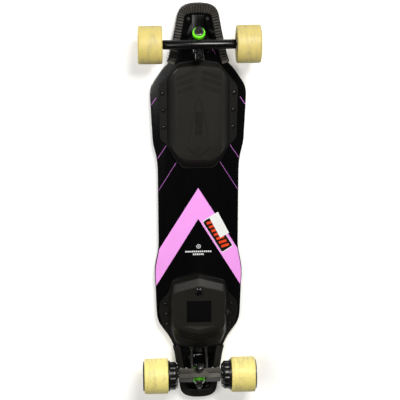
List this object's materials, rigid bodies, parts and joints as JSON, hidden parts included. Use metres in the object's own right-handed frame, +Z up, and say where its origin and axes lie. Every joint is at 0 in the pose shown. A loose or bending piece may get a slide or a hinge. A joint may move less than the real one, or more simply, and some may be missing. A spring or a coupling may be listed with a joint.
{
  "type": "electric skateboard",
  "caption": "Drop-through electric longboard with two rear hub motors, underslung battery and electronics enclosures, reverse-kingpin trucks and end bumpers.",
  "frame": {"origin": "centre of the bounding box, on the floor under the wheels", "axes": "+X towards the nose, +Y to the rider's left, +Z up through the deck"},
  "size_m": [0.95, 0.267, 0.1139],
  "materials": {
    "deck": "black lacquer over laminated maple, pink chevron graphic underneath",
    "grip_tape": "coarse black grit",
    "bumper_rubber": "ribbed dark rubber",
    "cast_black": "gloss black paint on cast metal",
    "hanger_grey": "dark grey anodised",
    "steel": "zinc-plated",
    "black_steel": "black oxide",
    "green_urethane": "lime green urethane",
    "cream_urethane": "cream urethane",
    "case_plastic": "matt black",
    "gloss_plastic": "gloss black",
    "core_plastic": "dark grey",
    "cell_sleeve": "blue shrink sleeve",
    "circuit_board": "green solder mask",
    "stator": "laminations and copper windings",
    "cable": "black sheath"
  },
  "bodies": {
    "root": {"deck": "deck", "grip_tape": "grip_tape", "nose_bumper": "bumper_rubber", "tail_bumper": "bumper_rubber", "front_baseplate": "cast_black", "rear_baseplate": "cast_black", "front_kingpin": "steel", "rear_kingpin": "steel", "front_kingpin_nut": "black_steel", "rear_kingpin_nut": "black_steel", "front_cupped_washer": "black_steel", "rear_cupped_washer": "black_steel", "front_boardside_bushing": "green_urethane", "front_roadside_bushing": "green_urethane", "rear_boardside_bushing": "green_urethane", "rear_roadside_bushing": "green_urethane", "front_pivot_cup": "green_urethane", "rear_pivot_cup": "green_urethane", "battery_enclosure": "case_plastic", "esc_enclosure": "case_plastic", "battery_pack": "cell_sleeve", "battery_management_board": "circuit_board", "motor_controller_board": "circuit_board", "square_panel": "gloss_plastic", "button_bezel": "black_steel", "charge_port": "black_steel", "link_cable": "cable", "left_motor_cable": "cable", "right_motor_cable": "cable", "front_truck_bolt_1": "black_steel", "front_truck_bolt_2": "black_steel", "front_truck_bolt_3": "black_steel", "front_truck_bolt_4": "black_steel", "rear_truck_bolt_1": "black_steel", "rear_truck_bolt_2": "black_steel", "rear_truck_bolt_3": "black_steel", "rear_truck_bolt_4": "black_steel"},
    "front_truck": {"front_hanger": "cast_black", "front_axle": "steel", "front_left_axle_nut": "steel", "front_right_axle_nut": "steel"},
    "rear_truck": {"rear_hanger": "hanger_grey", "left_motor_stator": "stator", "right_motor_stator": "stator"},
    "front_left_wheel": {"front_left_tyre": "cream_urethane", "front_left_core": "core_plastic", "front_left_inner_bearing": "steel", "front_left_outer_bearing": "steel"},
    "front_right_wheel": {"front_right_tyre": "cream_urethane", "front_right_core": "core_plastic", "front_right_inner_bearing": "steel", "front_right_outer_bearing": "steel"},
    "rear_left_wheel": {"left_motor_can": "black_steel", "left_motor_cover": "black_steel", "rear_left_tyre": "cream_urethane"},
    "rear_right_wheel": {"right_motor_can": "black_steel", "right_motor_cover": "black_steel", "rear_right_tyre": "cream_urethane"},
    "power_button": {"power_button": "gloss_plastic"},
    "charge_cap": {"charge_port_cap": "bumper_rubber"}
  },
  "joints": [
    {"name": "front_steer", "type": "hinge", "parent": "root", "child": "front_truck", "pos_m": [0.38693, 0, 0.04857], "axis": [0.7071, 0, 0.7071], "range_deg": [-14, 14], "stiffness_Nm_per_rad": 25, "deforming": ["front_boardside_bushing", "front_roadside_bushing"]},
    {"name": "rear_steer", "type": "hinge", "parent": "root", "child": "rear_truck", "pos_m": [-0.38693, 0, 0.04857], "axis": [-0.7071, 0, 0.7071], "range_deg": [-14, 14], "stiffness_Nm_per_rad": 25, "deforming": ["rear_boardside_bushing", "rear_roadside_bushing", "left_motor_cable", "right_motor_cable"]},
    {"name": "front_left_wheel_spin", "type": "hinge", "parent": "front_truck", "child": "front_left_wheel", "pos_m": [0.394, 0.107, 0.0415], "axis": [0, 1, 0], "continuous": true},
    {"name": "front_right_wheel_spin", "type": "hinge", "parent": "front_truck", "child": "front_right_wheel", "pos_m": [0.394, -0.107, 0.0415], "axis": [0, 1, 0], "continuous": true},
    {"name": "rear_left_wheel_spin", "type": "hinge", "parent": "rear_truck", "child": "rear_left_wheel", "pos_m": [-0.394, 0.1, 0.0415], "axis": [0, 1, 0], "continuous": true},
    {"name": "rear_right_wheel_spin", "type": "hinge", "parent": "rear_truck", "child": "rear_right_wheel", "pos_m": [-0.394, -0.1, 0.0415], "axis": [0, 1, 0], "continuous": true},
    {"name": "power_button_press", "type": "slide", "parent": "root", "child": "power_button", "axis": [0, 0, 1], "range_m": [0, 0.0015], "stiffness_N_per_m": 400},
    {"name": "charge_cap_open", "type": "hinge", "parent": "root", "child": "charge_cap", "pos_m": [-0.2385, 0.06797, 0.07662], "axis": [0, -0.3511, -0.9363], "range_deg": [0, 120]}
  ]
}
